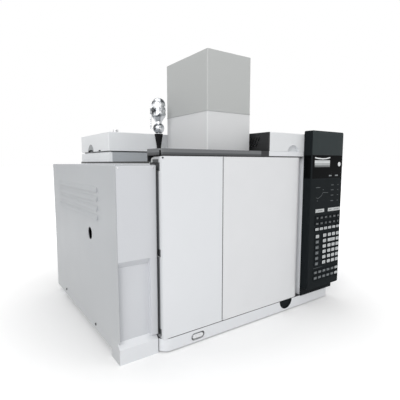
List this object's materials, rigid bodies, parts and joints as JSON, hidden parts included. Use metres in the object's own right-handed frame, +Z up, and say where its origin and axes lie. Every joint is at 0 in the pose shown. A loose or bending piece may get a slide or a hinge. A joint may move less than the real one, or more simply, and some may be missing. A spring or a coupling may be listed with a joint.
{
  "type": "gas chromatograph",
  "caption": "Bench-top gas chromatograph with a column oven behind a hinged door, keypad panel, valve box, detector tower and side cabinet.",
  "frame": {"origin": "centre of the bounding box on the bench plane, at the bottom of the feet", "axes": "+X to the right seen from the front, +Y towards the rear, +Z up"},
  "size_m": [0.6776, 0.5792, 0.675],
  "materials": {
    "aluminium": "bright aluminium",
    "board": "circuit board laminate",
    "brass": "turned brass",
    "ceramic": "unglazed ceramic",
    "column": "amber polyimide coated column",
    "dark_paint": "near-black satin paint",
    "grey_paint": "light grey powder coat",
    "key_plastic": "light grey key caps",
    "lcd": "character display",
    "lens": "unlit indicator lens",
    "mat_rubber": "dark silicone mat with light keys",
    "mid_grey_paint": "dark grey satin paint",
    "motor": "black motor body",
    "panel_plastic": "charcoal moulded plastic",
    "rubber": "black rubber",
    "steel": "brushed stainless steel",
    "white_paint": "fine-texture white powder coat",
    "white_plastic": "white moulded plastic",
    "window": "smoked glossy window",
    "wool": "ceramic fibre insulation",
    "zinc": "plain plated steel sheet"
  },
  "bodies": {
    "root": {"base_pan": "zinc", "base_skirt": "white_plastic", "column_cage": "steel", "column_coil": "column", "control_panel_housing": "panel_plastic", "cooling_fan_frame": "panel_plastic", "deck_trim": "dark_paint", "detector_burner": "ceramic", "display_module": "lcd", "display_window": "window", "door_hinge_brackets": "dark_paint", "electronics_bay_wall": "white_paint", "epc_modules": "aluminium", "fan_baffle": "steel", "fan_motor": "motor", "front_bulkhead": "steel", "gas_fittings": "brass", "heater_coil": "steel", "inlet_ports": "steel", "keypad_mat": "mat_rubber", "left_side_panel": "white_paint", "main_board": "board", "oven_insulation": "wool", "oven_liner": "steel", "power_inlet": "panel_plastic", "power_supply": "zinc", "rear_panel": "white_paint", "right_side_panel": "white_paint", "rubber_feet": "rubber", "sample_valve": "steel", "septum_nuts": "brass", "side_cabinet_front": "white_paint", "side_cabinet_shell": "white_paint", "side_cabinet_sill": "white_paint", "status_leds": "lens", "top_deck": "zinc", "tower_cover": "grey_paint", "trap_boot": "rubber", "valve_box_base": "mid_grey_paint", "vent_frames": "zinc", "vent_trap": "aluminium"},
    "oven_door": {"door_skin_left": "white_plastic", "door_skin_right": "white_plastic", "door_pan": "zinc", "door_insulation": "wool", "door_gasket": "wool", "door_hinge_pins": "steel"},
    "door_latch_button": {"door_latch_button": "panel_plastic"},
    "power_switch": {"power_switch": "white_plastic"},
    "oven_fan": {"oven_fan": "aluminium"},
    "cooling_fan": {"cooling_fan": "panel_plastic"},
    "intake_flap": {"intake_flap": "zinc"},
    "exhaust_flap": {"exhaust_flap": "zinc"},
    "electronics_cover": {"electronics_cover": "white_paint"},
    "valve_box_lid": {"valve_box_lid": "white_paint"},
    "lid_thumbscrew": {"lid_thumbscrew": "steel"},
    "valve_rotor": {"valve_rotor": "aluminium"},
    "key_stop": {"key_stop": "key_plastic"},
    "key_prep_run": {"key_prep_run": "key_plastic"},
    "key_start": {"key_start": "key_plastic"}
  },
  "joints": [
    {"name": "door_hinge", "type": "hinge", "parent": "root", "child": "oven_door", "pos_m": [-0.2407, -0.25535, 0.221], "axis": [0, 0, -1], "range_deg": [0, 110]},
    {"name": "latch_press", "type": "slide", "parent": "root", "child": "door_latch_button", "axis": [0, 1, 0], "range_m": [0, 0.005], "stiffness_N_per_m": 300},
    {"name": "power_press", "type": "slide", "parent": "root", "child": "power_switch", "axis": [0, 1, 0], "range_m": [0, 0.003], "stiffness_N_per_m": 300},
    {"name": "oven_fan_spin", "type": "hinge", "parent": "root", "child": "oven_fan", "pos_m": [-0.0227, -0.01885, 0.22055], "axis": [0, 1, 0], "continuous": true},
    {"name": "cooling_fan_spin", "type": "hinge", "parent": "root", "child": "cooling_fan", "pos_m": [-0.29235, 0.27215, 0.11], "axis": [0, 1, 0], "continuous": true},
    {"name": "exhaust_flap_open", "type": "hinge", "parent": "root", "child": "exhaust_flap", "pos_m": [0.0523, 0.01665, 0.355], "axis": [1, 0, 0], "range_deg": [0, 60]},
    {"name": "intake_flap_open", "type": "hinge", "parent": "root", "child": "intake_flap", "pos_m": [0.0523, 0.01665, 0.135], "axis": [1, 0, 0], "range_deg": [0, 60]},
    {"name": "cover_hinge", "type": "hinge", "parent": "root", "child": "electronics_cover", "pos_m": [0.3373, 0.26765, 0.447], "axis": [-1, 0, 0], "range_deg": [0, 75]},
    {"name": "valve_lid_lift", "type": "slide", "parent": "root", "child": "valve_box_lid", "axis": [0, 0, 1], "range_m": [0, 0.09]},
    {"name": "thumbscrew_turn", "type": "hinge", "parent": "valve_box_lid", "child": "lid_thumbscrew", "pos_m": [-0.2137, 0.05565, 0.49], "axis": [0, 0, 1], "continuous": true},
    {"name": "valve_rotor_turn", "type": "hinge", "parent": "root", "child": "valve_rotor", "pos_m": [-0.1277, 0.14365, 0.451], "axis": [0, 0, 1], "range_deg": [0, 60]},
    {"name": "key_stop_press", "type": "slide", "parent": "root", "child": "key_stop", "axis": [0, 1, 0], "range_m": [0, 0.0012], "stiffness_N_per_m": 250},
    {"name": "key_prep_run_press", "type": "slide", "parent": "root", "child": "key_prep_run", "axis": [0, 1, 0], "range_m": [0, 0.0012], "stiffness_N_per_m": 250},
    {"name": "key_start_press", "type": "slide", "parent": "root", "child": "key_start", "axis": [0, 1, 0], "range_m": [0, 0.0012], "stiffness_N_per_m": 250}
  ],
  "couplings": [
    {"joint": "intake_flap_open", "follows": "exhaust_flap_open", "ratio": 1}
  ]
}
